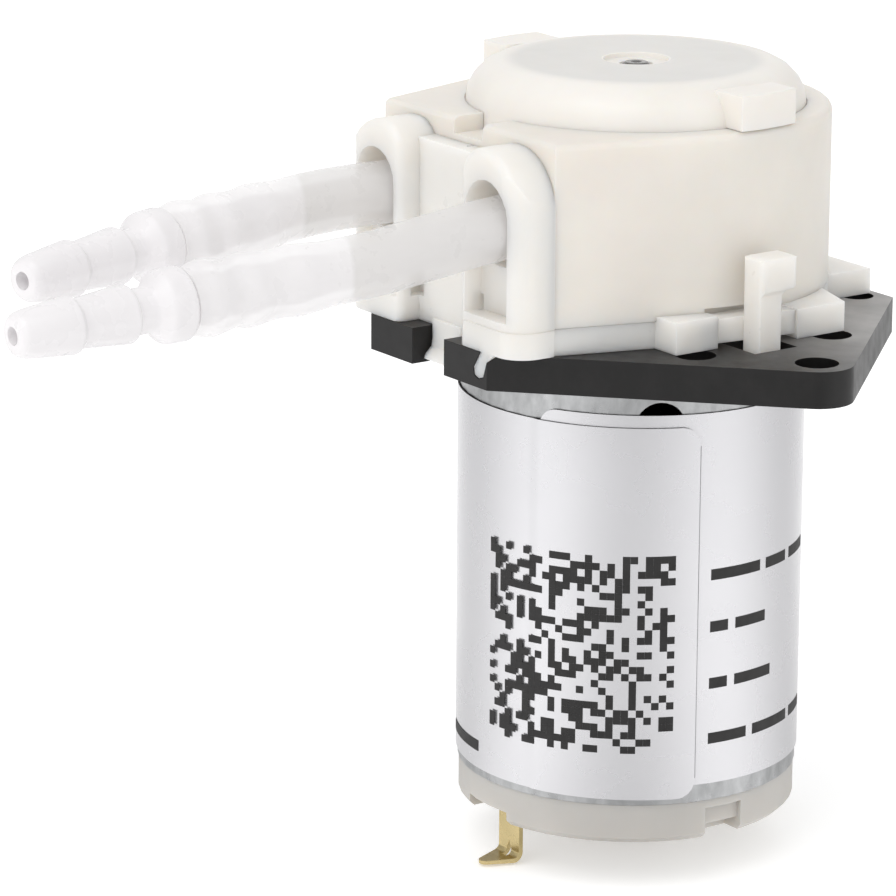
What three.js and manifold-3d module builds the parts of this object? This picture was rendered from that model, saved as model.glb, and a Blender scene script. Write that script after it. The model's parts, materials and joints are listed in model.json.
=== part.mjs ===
// Peristaltic dosing pump: a brushed DC motor under a mounting plate, and a latched pump head
// whose three rollers squeeze a U-shaped silicone tube. Millimetres, +Z up, tube ends towards -Y.
// The dimensions are measured from the motor axis at the underside of the mounting plate. The
// finished model's origin is on that same plane, MOUNT_Y behind the axis, where the plate is solid.
import * as THREE from 'three';
import { mergeVertices } from 'three/addons/utils/BufferGeometryUtils.js';
import Module from 'manifold-3d';

const wasm = await Module();
wasm.setup();

const MOUNT_Y = 16.1;

// Mounting plate
const PLATE_T = 2.9;
const EAR = { x: 24.1, y: -0.6, r: 2.9, hole: 1.7 };
const PLATE_FRONT_X = 7.9;
const PLATE_FRONT_Y = -20;
const PLATE_BACK_X = 10.9;
const PLATE_BACK_Y = 18.05;
const SIDE_HOLES = [[17.8, 6.0, 1.6], [8.9, 16.0, 1.3], [17.0, -6.8, 1.6]];
const MOTOR_SEAT_R = 14.15;
const MOTOR_SEAT_DEPTH = 0.5;
const SCREW_Y = 8;

// Motor
const CAN_R = 13.85;
const CAN_WALL = 0.8;
const CAN_BOTTOM = -35.14;
const CAP_BOTTOM = -38.44;
const VENT = { r: 2.0, z: -4.0, deg: 62.5 };
const LABEL_TOP = -3.9;
const LABEL_BOTTOM = -34.2;
const SHAFT_R = 1.15;
const SHAFT_TOP = 22.35;
const SHAFT_BOTTOM = -37.6;
const CORE = { r: 10.1, z0: -25, z1: -9, teeth: 3 };
const TERMINAL = { y: 11.35, x0: -1.7, x1: 1.1, half: 0.2, top: -31.5, low: -42.3, bend: 0.85, reach: 3.1 };

// Pump head
const FLANGE_Z0 = 2.95;
const SEAM_Z = 5.05;
const BODY_R = 15.6;
const PORT_HALF = 11.6;
const HOOD_Y = -16.3;
const LEDGE_Z = 19.4;
const SHOULDER_X = 11.4;
const RACE_R = 14.0;
const LEDGE_ROUND = 0.6;
const HOOD = { inner: 4.1, top: 18.75, round: 0.7, corner: 2.2 };
const ARCH_HALF = 2.68;
const COVER = { r: 13.56, seat: 17.95, top: 22.6, fillet: 3.3, wall: 1.3, dish: 2.6, hole: 1.3 };
const BUSHING_TOP = 21.45;
const COVER_LUG = { inner: 11.9, outer: 15.55, y0: -1.5, y1: 4.2, top: 22.2 };
const LEDGE_NOTCH = { half: 1.9, back: -13.4, floor: 18.1 };
const PORT_X = 7.5;
const TUBE_Z = 12.7;
const PIVOT = { x: 15.4, z: 4.25, r: 0.65 };
const LATCH_BAR = { y0: -4.2, y1: 2.75, low: 3.35, high: 5.25 };
const LATCH_GAP = 0.05;
const LATCH = {
  x0: 16.6, stemX: 18.9, x1: 19.15, y0: -2.15, stemY: 0, y1: 1.5,
  low: 0.6, neck: 7.3, high: 10.15, corner: 0.6,
};

// Friction drive: sleeve, rollers, carrier
const SLEEVE_R = 1.65;
const ROLLER_R = 5.15;
const ROLLER_PITCH = SLEEVE_R + ROLLER_R + 0.02;
const ROLLER_H = 7.6;
const PIN_R = 1.0;
const ROLLERS = 3;

// Tube and barbed connectors
const TUBE_R = 2.5;
const TUBE_BORE = 1.5;
const FLAT_HALF = 0.88;
const FLAT_HEIGHT = 3.45;
const LOOP_R = RACE_R - 0.12 - FLAT_HALF;
const LOOP_END_DEG = 38;
const GRIP = 14.4;
const CONNECTOR_L = 28.75;

const DEG = Math.PI / 180;

function paint(color, roughness, metalness = 0) {
  return new THREE.MeshStandardMaterial({ color, roughness, metalness });
}

const MAT = {
  black: paint(0x2b292a, 0.5),
  steel: paint(0xb4b6b8, 0.3, 1),
  shaft: paint(0xc4c6c8, 0.2, 1),
  nylon: paint(0xd6d3cb, 0.55),
  label: paint(0xd7dade, 0.35, 0.2),
  brass: paint(0xc8a45a, 0.3, 1),
  bronze: paint(0xa9835a, 0.45, 1),
  ferrite: paint(0x34343a, 0.7),
  copper: paint(0xb8693a, 0.35, 1),
  carbon: paint(0x222222, 0.8),
  white: paint(0xeeedea, 0.4),
  ivory: paint(0xe6e1d8, 0.4),
  cover: paint(0xdedad2, 0.35),
  roller: paint(0xf2f1ee, 0.35),
  silicone: paint(0xdedee2, 0.3),
  connector: paint(0xecebee, 0.3),
};

// ---- solids -------------------------------------------------------------------------------

function toSolid(geometry) {
  const bare = geometry.clone();
  for (const name of Object.keys(bare.attributes)) {
    if (name !== 'position') bare.deleteAttribute(name);
  }
  const merged = mergeVertices(bare, 1e-4);
  return new wasm.Manifold(new wasm.Mesh({
    numProp: 3,
    vertProperties: merged.attributes.position.array,
    triVerts: new Uint32Array(merged.index.array),
  }));
}

function toGeometry(solid) {
  const mesh = solid.getMesh();
  const geometry = new THREE.BufferGeometry();
  geometry.setAttribute('position', new THREE.BufferAttribute(mesh.vertProperties, 3));
  geometry.setIndex(new THREE.BufferAttribute(mesh.triVerts, 1));
  const flat = geometry.toNonIndexed();
  flat.computeVertexNormals();
  return flat;
}

function join(...geometries) {
  return toGeometry(geometries.map(toSolid).reduce((a, b) => a.add(b)));
}

function cut(body, ...tools) {
  return toGeometry(tools.map(toSolid).reduce((a, b) => a.subtract(b), toSolid(body)));
}

function common(a, b) {
  return toGeometry(toSolid(a).intersect(toSolid(b)));
}

function box(low, high) {
  const size = high.map((v, i) => v - low[i]);
  const mid = high.map((v, i) => (v + low[i]) / 2);
  return new THREE.BoxGeometry(...size).translate(...mid);
}

// A cylinder along Z from z0 to z1, centred on x, y.
function rod(r, z0, z1, x = 0, y = 0, segments = 28) {
  const geometry = new THREE.CylinderGeometry(r, r, z1 - z0, segments);
  return geometry.rotateX(Math.PI / 2).translate(x, y, (z0 + z1) / 2);
}

// A cylinder along Y from y0 to y1, centred on x, z.
function rodY(r, y0, y1, x, z, segments = 20) {
  const geometry = new THREE.CylinderGeometry(r, r, y1 - y0, segments);
  return geometry.translate(x, (y0 + y1) / 2, z);
}

// A solid of revolution about Z from [radius, z] pairs that run up the outside.
function turned(profile, segments = 40) {
  const points = profile.map(([r, z]) => new THREE.Vector2(r, z));
  return new THREE.LatheGeometry(points, segments).rotateX(Math.PI / 2);
}

// A pipe of revolution about Z: outside radius, inside radius, bottom and top.
function pipe(outer, inner, z0, z1, segments = 36) {
  return turned([[inner, z0], [outer, z0], [outer, z1], [inner, z1], [inner, z0]], segments);
}

function circle(cx, cy, r, count = 48) {
  const points = [];
  for (let i = 0; i < count; i += 1) {
    const a = (i / count) * 2 * Math.PI;
    points.push([cx + r * Math.cos(a), cy + r * Math.sin(a)]);
  }
  return points;
}

// The convex outline round a set of points, counter-clockwise.
function hull(points) {
  const sorted = [...points].sort((a, b) => a[0] - b[0] || a[1] - b[1]);
  const turn = (o, a, b) => (a[0] - o[0]) * (b[1] - o[1]) - (a[1] - o[1]) * (b[0] - o[0]);
  const half = (list) => {
    const chain = [];
    for (const p of list) {
      while (chain.length > 1 && turn(chain[chain.length - 2], chain[chain.length - 1], p) <= 1e-9) {
        chain.pop();
      }
      chain.push(p);
    }
    chain.pop();
    return chain;
  };
  return [...half(sorted), ...half(sorted.reverse())];
}

function slab(points, z0, z1) {
  const shape = new THREE.Shape(points.map(([x, y]) => new THREE.Vector2(x, y)));
  return new THREE.ExtrudeGeometry(shape, { depth: z1 - z0, bevelEnabled: false }).translate(0, 0, z0);
}

// An outline in X and Z, extruded from y0 to y1.
function slabY(points, y0, y1) {
  return slab(points, -y1, -y0).rotateX(Math.PI / 2);
}

// An outline in Y and Z, extruded from x0 to x1.
function slabX(points, x0, x1) {
  const turn = new THREE.Matrix4().set(0, 0, 1, 0, 1, 0, 0, 0, 0, 1, 0, 0, 0, 0, 0, 1);
  return slab(points, x0, x1).applyMatrix4(turn);
}

// A slab whose top and bottom edges are rounded with radius r.
function softSlab(points, z0, z1, r) {
  const shape = new THREE.Shape(points.map(([x, y]) => new THREE.Vector2(x, y)));
  const options = {
    depth: z1 - z0 - 2 * r, bevelThickness: r, bevelSize: r, bevelOffset: -r, bevelSegments: 3,
  };
  return new THREE.ExtrudeGeometry(shape, options).translate(0, 0, z0 + r);
}

function softSlabY(points, y0, y1, r) {
  return softSlab(points, -y1, -y0, r).rotateX(Math.PI / 2);
}

function mirrorX(geometry) {
  const solid = toSolid(geometry).mirror([1, 0, 0]);
  return toGeometry(solid);
}

const group = new THREE.Group();

function add(name, geometry, material) {
  const mesh = new THREE.Mesh(geometry.translate(0, -MOUNT_Y, 0), material);
  mesh.name = name;
  group.add(mesh);
  return mesh;
}

// ---- mounting plate -----------------------------------------------------------------------

// The pocket in the plate's front edge that locates the head base, in X and Z.
const FINGER = [
  [7.2, 3.2], [6.1, 1.55], [6.25, 0.9], [6.8, 0.7], [7.4, 0.9], [7.85, 2.2], [8.9, 3.2],
];
const FINGER_MID = [7.2, 1.9];

// The pocket's outline moved inwards by about the given distance.
function fingerOutline(gap) {
  const [cx, cz] = FINGER_MID;
  return FINGER.map(([x, z]) => {
    const length = Math.hypot(x - cx, z - cz);
    const k = (length - gap) / length;
    return [cx + (x - cx) * k, cz + (z - cz) * k];
  });
}

function mountingPlate() {
  const outline = hull([
    ...circle(EAR.x, EAR.y, EAR.r, 32),
    ...circle(-EAR.x, EAR.y, EAR.r, 32),
    [PLATE_FRONT_X, PLATE_FRONT_Y],
    [-PLATE_FRONT_X, PLATE_FRONT_Y],
    [PLATE_BACK_X, PLATE_BACK_Y],
    [-PLATE_BACK_X, PLATE_BACK_Y],
  ]);
  const tools = [
    box([-2.15, -22, -1], [2.15, -16.6, 4]),
    slabY(fingerOutline(0), -21, -18.7),
    rod(MOTOR_SEAT_R, -1, MOTOR_SEAT_DEPTH, 0, 0, 44),
    rod(5.3, -1, 4),
  ];
  for (const side of [-1, 1]) {
    tools.push(rod(EAR.hole, -1, 4, side * EAR.x, EAR.y, 24));
    tools.push(rod(1.4, -1, 4, 0, side * SCREW_Y, 16));
    tools.push(rod(2.5, 1.3, 4, 0, side * SCREW_Y, 20));
    for (const [x, y, r] of SIDE_HOLES) tools.push(rod(r, -1, 4, side * x, y, 24));
    const slot = [[15.0, -1, 19.3, 4], [15.0, -1, 20.2, 1.3]];
    for (const [x0, z0, x1, z1] of slot) {
      const low = [Math.min(side * x0, side * x1), -2.8, z0];
      const high = [Math.max(side * x0, side * x1), 1.35, z1];
      tools.push(box(low, high));
    }
  }
  return cut(slab(outline, 0, PLATE_T), ...tools);
}

// ---- motor --------------------------------------------------------------------------------

function motorCan() {
  const inner = CAN_R - CAN_WALL;
  const top = MOTOR_SEAT_DEPTH - 0.02;
  const shell = turned([
    [inner, CAN_BOTTOM], [CAN_R, CAN_BOTTOM], [CAN_R, top - 0.9], [CAN_R - 0.26, top - 0.26],
    [CAN_R - 0.9, top], [5.0, top], [5.0, 2.1], [3.05, 2.1], [3.05, top - 1], [inner, top - 1],
    [inner, CAN_BOTTOM],
  ], 44);
  const tools = [];
  for (const side of [-1, 1]) {
    tools.push(rod(1.25, -3, 1, 0, side * SCREW_Y, 24));
    const vent = rodY(VENT.r, -16, -9, 0, VENT.z, 28);
    tools.push(vent.rotateZ((side > 0 ? VENT.deg : VENT.deg + 180) * DEG));
  }
  return cut(shell, ...tools);
}

function motorEndcap() {
  const plug = CAN_R - CAN_WALL - 0.06;
  const body = turned([
    [3.25, CAP_BOTTOM], [13.3, CAP_BOTTOM], [13.75, CAP_BOTTOM + 0.45],
    [13.75, CAN_BOTTOM - 0.03], [plug, CAN_BOTTOM - 0.03], [plug, -31.0], [11.9, -31.0],
    [11.9, CAN_BOTTOM + 0.4], [4.6, CAN_BOTTOM + 0.4], [4.6, -34.0], [3.25, -34.0],
    [3.25, CAP_BOTTOM],
  ], 44);
  const { y, x0, x1 } = TERMINAL;
  const openings = [
    box([-3.4, -16, -42], [2.1, -11.0, CAP_BOTTOM + 1.1]),
    box([11.6, -2.2, -42], [16, 1.3, CAP_BOTTOM + 1.1]),
    box([13.2, -2.2, -42], [16, 1.3, CAN_BOTTOM - 0.7]),
    box([x0 - 0.2, -y - 0.3, -42], [x1 + 0.2, -y + 0.3, -30]),
  ];
  const tools = openings.flatMap((opening) => [opening, opening.clone().rotateZ(Math.PI)]);
  return cut(body, ...tools);
}

// A thin wrap round the can with a raised overlap where its two ends meet.
function motorLabel() {
  const inner = CAN_R + 0.02;
  const single = inner + 0.1;
  const double = inner + 0.2;
  const seam = -13.3;
  const overlap = 24;
  const steps = 40;
  const points = [];
  for (let i = 0; i <= steps; i += 1) {
    const deg = seam + (360 - overlap) * (i / steps);
    points.push([single * Math.cos(deg * DEG), single * Math.sin(deg * DEG)]);
  }
  for (let i = 0; i <= 8; i += 1) {
    const deg = seam - overlap + overlap * (i / 8);
    points.push([double * Math.cos(deg * DEG), double * Math.sin(deg * DEG)]);
  }
  const sleeve = slab(points, LABEL_BOTTOM, LABEL_TOP);
  return cut(sleeve, rod(inner, -40, 0, 0, 0, 44));
}

// A brass blade at the -Y side of the end cap, bent outwards into a tapering foot, with a
// triangular solder slot through the bend.
function terminal() {
  const { y, x0, x1, half, top, low, bend: radius, reach } = TERMINAL;
  const back = -y + half;
  const front = -y - half;
  const tip = -y - reach;
  const centre = [back - radius, low + radius];
  const thickness = 2 * half;
  const profile = [[back, top]];
  for (let i = 0; i <= 5; i += 1) {
    const a = -(i / 5) * 90 * DEG;
    profile.push([centre[0] + radius * Math.cos(a), centre[1] + radius * Math.sin(a)]);
  }
  profile.push([tip, low + 0.05], [tip, low + thickness - 0.05]);
  for (let i = 5; i >= 0; i -= 1) {
    const a = -(i / 5) * 90 * DEG;
    const inside = radius - thickness;
    profile.push([centre[0] + inside * Math.cos(a), centre[1] + inside * Math.sin(a)]);
  }
  profile.push([front, top]);
  const strip = slabX(profile.reverse(), x0, x1);
  const middle = (x0 + x1) / 2;
  const plan = hull([
    [x0, 0], [x1, 0], [x1, front - 0.3], [x0, front - 0.3], ...circle(middle, tip + 0.55, 0.55, 16),
  ]);
  const blade = common(strip, slab(plan, low - 1, top + 1));
  const slot = slabY([
    [middle - 0.45, low - 1], [middle + 0.5, low - 1], [middle + 0.3, low + 0.9],
    [middle + 0.05, low + 1.5], [middle - 0.2, low + 0.9],
  ], -y - 0.75, -y + 1);
  return cut(blade, slot);
}

function magnet(side) {
  const outer = 12.95;
  const inner = 10.7;
  const half = 68;
  const points = [];
  for (let i = 0; i <= 24; i += 1) {
    const a = (-half + (2 * half * i) / 24) * DEG;
    points.push([outer * Math.cos(a), outer * Math.sin(a)]);
  }
  for (let i = 24; i >= 0; i -= 1) {
    const a = (-half + (2 * half * i) / 24) * DEG;
    points.push([inner * Math.cos(a), inner * Math.sin(a)]);
  }
  const arc = slab(points, -29.5, -5.5);
  return side > 0 ? arc : arc.rotateZ(Math.PI);
}

function armatureCore() {
  const parts = [rod(3.6, CORE.z0, CORE.z1)];
  for (let i = 0; i < CORE.teeth; i += 1) {
    const turn = (i * 2 * Math.PI) / CORE.teeth;
    parts.push(box([0, -1.5, CORE.z0], [9.4, 1.5, CORE.z1]).rotateZ(turn));
    const shoe = [];
    for (let k = 0; k <= 14; k += 1) {
      const a = (-52 + (104 * k) / 14) * DEG;
      shoe.push([CORE.r * Math.cos(a), CORE.r * Math.sin(a)]);
    }
    for (let k = 14; k >= 0; k -= 1) {
      const a = (-52 + (104 * k) / 14) * DEG;
      shoe.push([(CORE.r - 1.2) * Math.cos(a), (CORE.r - 1.2) * Math.sin(a)]);
    }
    parts.push(slab(shoe, CORE.z0, CORE.z1).rotateZ(turn));
  }
  return cut(join(...parts), rod(SHAFT_R + 0.02, -30, 0));
}

function winding(index) {
  const outer = box([4.3, -3.0, CORE.z0 - 1.7], [8.2, 3.0, CORE.z1 + 1.7]);
  const inner = box([3, -1.6, CORE.z0 - 0.1], [9, 1.6, CORE.z1 + 0.1]);
  return cut(outer, inner).rotateZ((index * 2 * Math.PI) / CORE.teeth);
}

function brush(side) {
  return box([side > 0 ? 3.05 : -6.2, -1.3, -32.6], [side > 0 ? 6.2 : -3.05, 1.3, -29.9]);
}

function plateScrew(side) {
  const y = side * SCREW_Y;
  const body = join(rod(1.2, -2.2, 1.4, 0, y, 24), rod(2.2, 1.35, 2.7, 0, y, 32));
  const a = box([-1.5, y - 0.28, 2.0], [1.5, y + 0.28, 3]);
  const b = box([-0.28, y - 1.5, 2.0], [0.28, y + 1.5, 3]);
  return cut(body, a, b);
}

function motorShaft() {
  return turned([
    [0, SHAFT_BOTTOM], [SHAFT_R - 0.2, SHAFT_BOTTOM], [SHAFT_R, SHAFT_BOTTOM + 0.2],
    [SHAFT_R, SHAFT_TOP - 0.25], [SHAFT_R - 0.25, SHAFT_TOP], [0.45, SHAFT_TOP], [0, SHAFT_TOP - 0.4],
  ], 40);
}

// ---- pump head frame and latches ----------------------------------------------------------

// The round body with its tangent shoulders, which end at the back of the port hoods.
function bodyOutline(grow = 0) {
  const x = SHOULDER_X + grow;
  return hull([...circle(0, 0, BODY_R + grow, 48), [x, HOOD_Y], [-x, HOOD_Y]]);
}

// Rounded front of one tube port, as an outline in X and Z.
function hoodOutline() {
  const points = [[HOOD.inner, 0], [PORT_HALF, 0]];
  const arc = (cx, cz, r, from, to, steps) => {
    for (let i = 0; i <= steps; i += 1) {
      const a = (from + ((to - from) * i) / steps) * DEG;
      points.push([cx + r * Math.cos(a), cz + r * Math.sin(a)]);
    }
  };
  arc(PORT_HALF - 4.6, HOOD.top - 4.6, 4.6, 0, 90, 10);
  arc(HOOD.inner + 2.4, HOOD.top - 2.4, 2.4, 90, 180, 6);
  return points;
}

// One hood seen from above, shrunk by the given distance; its outer front corner is rounded.
function hoodPlan(shrink = 0) {
  const x1 = PORT_HALF - shrink;
  const y0 = PLATE_FRONT_Y + shrink;
  const r = HOOD.corner - shrink;
  return hull([
    [HOOD.inner, y0], [HOOD.inner, HOOD_Y], [x1, HOOD_Y], ...circle(x1 - r, y0 + r, r, 32),
  ]);
}

function hood() {
  const front = softSlabY(hoodOutline(), PLATE_FRONT_Y, HOOD_Y + 1, HOOD.round);
  const body = common(front, slab(hoodPlan(), FLANGE_Z0, HOOD.top + 1));
  const groove = cut(slab(hoodPlan(-1), SEAM_Z - 0.05, SEAM_Z + 0.05), slab(hoodPlan(0.12), 0, 9));
  const recess = box([PORT_X - ARCH_HALF, -21, 5.7], [PORT_X + ARCH_HALF, -18.4, 12]);
  return cut(body, box([0, HOOD_Y, 0], [20, 0, 30]), groove, recess);
}

// The tall arched opening a tube leaves through, as an outline in X and Z.
function archOutline(half, low, high) {
  const points = [];
  const steps = 10;
  for (let i = 0; i <= steps; i += 1) {
    const a = (i / steps) * Math.PI;
    points.push([PORT_X + half * Math.cos(a), high - half + half * Math.sin(a)]);
  }
  for (let i = 0; i <= steps; i += 1) {
    const a = Math.PI + (i / steps) * Math.PI;
    points.push([PORT_X + half * Math.cos(a), low + 1 + Math.sin(a)]);
  }
  return points;
}

function archTool(y0, y1) {
  return slabY(archOutline(ARCH_HALF, 9.5, 16.5), y0, y1);
}

// The hook that drops through the front slot of the plate, seen from the side in Y and Z.
const HOOK = [
  [-16.9, 0.3], [-16.9, 3.5], [-18.25, 3.5], [-18.25, 1.9], [-18.35, 1.3], [-18.9, 0.75],
  [-19.05, 0.4], [-18.7, 0.2], [-17.6, 0.2],
];

function headBase() {
  const parts = [
    slab(bodyOutline(), FLANGE_Z0, SEAM_Z),
    box([-4.3, -18, FLANGE_Z0], [4.3, HOOD_Y, 17.6]),
    box([-8.9, 10, FLANGE_Z0], [8.9, 17.3, 5.0]),
    slabX(HOOK, -1.9, 1.9),
    slabY(fingerOutline(0.08), -19.95, -18.8),
  ];
  const tools = [slab(bodyOutline(0.12), SEAM_Z, 9)];
  for (const side of [-1, 1]) {
    const place = (geometry) => (side > 0 ? geometry : mirrorX(geometry));
    parts.push(place(hood()));
    parts.push(place(box([12, -8.3, FLANGE_Z0], [16.5, -4, 5.5])));
    parts.push(place(slab([[12, 1.7], [17.5, 1.7], [17.5, 7.5], [12, 9.2]], FLANGE_Z0, 5.3)));
    tools.push(place(archTool(-21, -15)));
    tools.push(place(rodY(PIVOT.r + 0.08, LATCH_BAR.y0 - 1.4, LATCH_BAR.y0, PIVOT.x, PIVOT.z)));
    tools.push(place(rodY(PIVOT.r + 0.08, LATCH_BAR.y1, LATCH_BAR.y1 + 1.4, PIVOT.x, PIVOT.z)));
    tools.push(place(box([13.9, LATCH_BAR.y0 - LATCH_GAP, 2], [20, LATCH_BAR.y1 + LATCH_GAP, 8])));
    tools.push(place(box([3.5, -18.8, 4.9], [5.2, -17.2, 6.9])));
  }
  tools.push(rod(2.6, 0, 8));
  return cut(join(...parts), ...tools);
}

// The latch's upright in Y and Z: a stem with a thumb paddle that reaches to one side.
function uprightSide() {
  const { y0, stemY, y1, low, neck, high } = LATCH;
  return [
    [y0, low], [stemY, low], [stemY, neck - 0.35], [stemY + 0.12, neck], [stemY + 0.4, neck + 0.18],
    [y1 - 0.5, neck + 0.25], [y1 - 0.12, neck + 0.45], [y1, neck + 0.85], [y1, high - 0.5],
    [y1 - 0.12, high - 0.17], [y1 - 0.45, high], [y0 + 0.5, high], [y0 + 0.12, high - 0.17],
    [y0, high - 0.55],
  ];
}

// The same upright in X and Z: the paddle stands a little proud of the stem.
function uprightFront() {
  const { x0, stemX, x1, low, neck, high } = LATCH;
  return [
    [x0, low], [stemX, low], [stemX, neck - 0.15], [x1, neck + 0.3], [x1, high - 0.55],
    [x1 - 0.15, high - 0.17], [x1 - 0.5, high], [x0 + 0.4, high], [x0 + 0.1, high - 0.15],
    [x0, high - 0.45],
  ];
}

// Side latch: the upright on a pivot bar, with a barbed foot through the plate's slot.
function latch() {
  const { x0, stemX, x1, y0, stemY, y1, low, corner: r } = LATCH;
  const plan = hull([
    ...circle(x0 + r, y0 + r, r, 16), ...circle(x1 - r, y0 + r, r, 16),
    ...circle(x1 - r, y1 - r, r, 16), ...circle(x0 + r, y1 - r, r, 16),
  ]);
  const block = common(slabX(uprightSide(), x0 - 1, x1 + 1), slabY(uprightFront(), y0 - 1, y1 + 1));
  const upright = common(block, slab(plan, 0, 12));
  const bar = LATCH_BAR;
  const beam = slab([[14.6, bar.y0], [16.5, bar.y0], [17.3, bar.y1], [14.6, bar.y1]], bar.low, bar.high);
  const pin = rodY(PIVOT.r, bar.y0 - 1.1, bar.y1 + 1.1, PIVOT.x, PIVOT.z);
  const barb = slabY([
    [stemX - 0.2, low], [stemX + 0.4, low + 0.1], [stemX + 1, low + 0.5], [stemX - 0.2, low + 0.5],
  ], y0 + 0.25, stemY - 0.1);
  return join(upright, beam, pin, barb);
}

// ---- tube path ----------------------------------------------------------------------------

// Where each connector starts and which way it points.
const FRONT_START = new THREE.Vector3(PORT_X, -32.8, 11.15);
const FRONT_DIR = new THREE.Vector3(0, -1, -0.039).normalize();
const BACK_START = new THREE.Vector3(-7.2, -27.5, 12.6);
const BACK_DIR = new THREE.Vector3(0.208, -0.978, -0.035).normalize();
const BEND_R = 12.7;

function smooth(t) {
  return t * t * (3 - 2 * t);
}

// Stations from a connector to the start of the flattened loop: position, flatness and swell.
function leg(side, start, dir) {
  const stations = [];
  for (const s of [GRIP, GRIP / 2, 0]) {
    stations.push({ p: start.clone().addScaledVector(dir, s), flat: 0, swell: Math.min(1, s / 4) });
  }
  const bendY = -LOOP_R * Math.sin(LOOP_END_DEG * DEG) - BEND_R * Math.sin(LOOP_END_DEG * DEG);
  const bendX = LOOP_R * Math.cos(LOOP_END_DEG * DEG) - BEND_R * (1 - Math.cos(LOOP_END_DEG * DEG));
  const inner = new THREE.Vector3(side * bendX, bendY, TUBE_Z);
  const length = start.distanceTo(inner);
  const curve = new THREE.CubicBezierCurve3(
    start,
    start.clone().addScaledVector(dir, -length / 3),
    inner.clone().add(new THREE.Vector3(0, -length / 3, 0)),
    inner,
  );
  for (let i = 1; i <= 5; i += 1) stations.push({ p: curve.getPoint(i / 5), flat: 0, swell: 0 });
  for (let i = 1; i <= 5; i += 1) {
    const a = (LOOP_END_DEG * i) / 5;
    const x = bendX + BEND_R * (1 - Math.cos(a * DEG));
    const y = bendY + BEND_R * Math.sin(a * DEG);
    stations.push({ p: new THREE.Vector3(side * x, y, TUBE_Z), flat: smooth(i / 5), swell: 0 });
  }
  return stations;
}

function tubeStations() {
  const front = leg(1, FRONT_START, FRONT_DIR);
  const back = leg(-1, BACK_START, BACK_DIR).reverse();
  const loop = [];
  const sweep = 180 + 2 * LOOP_END_DEG;
  const steps = 26;
  for (let i = 1; i < steps; i += 1) {
    const a = (-LOOP_END_DEG + (sweep * i) / steps) * DEG;
    const p = new THREE.Vector3(LOOP_R * Math.cos(a), LOOP_R * Math.sin(a), TUBE_Z);
    loop.push({ p, flat: 1, swell: 0 });
  }
  return [...front, ...loop, ...back];
}

// Bends a straight turned solid whose z runs from 0 to the number of spans along the stations.
// section(station, radius) gives the half width and half height of a ring of that radius.
function bend(straight, stations, section) {
  const up = new THREE.Vector3(0, 0, 1);
  const frames = stations.map((station, i) => {
    const before = stations[Math.max(0, i - 1)].p;
    const after = stations[Math.min(stations.length - 1, i + 1)].p;
    const tangent = after.clone().sub(before).normalize();
    const sideways = up.clone().cross(tangent).normalize();
    return { sideways, upward: tangent.clone().cross(sideways) };
  });
  const position = straight.attributes.position;
  const v = new THREE.Vector3();
  for (let i = 0; i < position.count; i += 1) {
    v.fromBufferAttribute(position, i);
    const k = Math.round(v.z);
    const radius = Math.hypot(v.x, v.y);
    const [width, height] = section(stations[k], radius);
    const c = radius > 1e-6 ? v.x / radius : 0;
    const s = radius > 1e-6 ? v.y / radius : 0;
    const out = stations[k].p.clone();
    out.addScaledVector(frames[k].sideways, width * c);
    out.addScaledVector(frames[k].upward, height * s);
    position.setXYZ(i, out.x, out.y, out.z);
  }
  straight.computeVertexNormals();
  return straight;
}

function siliconeTube() {
  const stations = tubeStations();
  const last = stations.length - 1;
  const profile = [];
  for (let k = 0; k <= last; k += 1) profile.push([TUBE_R, k]);
  for (let k = last; k >= 0; k -= 1) profile.push([TUBE_BORE, k]);
  profile.push([TUBE_R, 0]);
  const section = (station, radius) => {
    const outer = radius > (TUBE_R + TUBE_BORE) / 2;
    const round = outer ? TUBE_R + 0.15 * station.swell : TUBE_BORE + 0.25 * station.swell;
    const width = outer ? FLAT_HALF : 0.1;
    const height = outer ? FLAT_HEIGHT : 2.5;
    return [
      THREE.MathUtils.lerp(round, width, station.flat),
      THREE.MathUtils.lerp(round, height, station.flat),
    ];
  };
  return bend(turned(profile, 12), stations, section);
}

// The clearance the housing keeps round one bent leg of the tube.
function legTool(side) {
  const start = side > 0 ? FRONT_START : BACK_START;
  const dir = side > 0 ? FRONT_DIR : BACK_DIR;
  const stations = leg(side, start, dir).slice(6);
  const last = stations.length - 1;
  const profile = [[0, 0]];
  for (let k = 0; k <= last; k += 1) profile.push([TUBE_R, k]);
  profile.push([0, last]);
  const section = (station, radius) => (radius < 1e-6 ? [0, 0] : [
    THREE.MathUtils.lerp(TUBE_R + 0.2, FLAT_HALF + 0.6, station.flat),
    THREE.MathUtils.lerp(TUBE_R + 0.6, FLAT_HEIGHT + 0.4, station.flat),
  ]);
  return bend(turned(profile, 12), stations, section);
}

function connector(start, dir) {
  const bore = 0.9;
  const g = GRIP;
  const end = CONNECTOR_L;
  const geometry = turned([
    [bore, 0], [1.1, 0], [1.35, 1.6], [1.25, 1.8], [1.25, 5.8], [1.55, 8.2], [1.3, 8.4],
    [1.3, g + 0.15], [2.85, g + 0.15], [2.8, g + 2.1], [1.75, g + 3.1], [1.75, g + 4.5],
    [2.25, g + 4.8], [1.85, g + 9.2], [2.2, g + 9.5], [1.85, end - 1.2], [1.7, end - 0.4],
    [1.35, end], [bore, end], [bore, 0],
  ], 16);
  const turn = new THREE.Quaternion().setFromUnitVectors(new THREE.Vector3(0, 0, 1), dir);
  return geometry.applyQuaternion(turn).translate(start.x, start.y, start.z);
}

// ---- housing and cover --------------------------------------------------------------------

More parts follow.
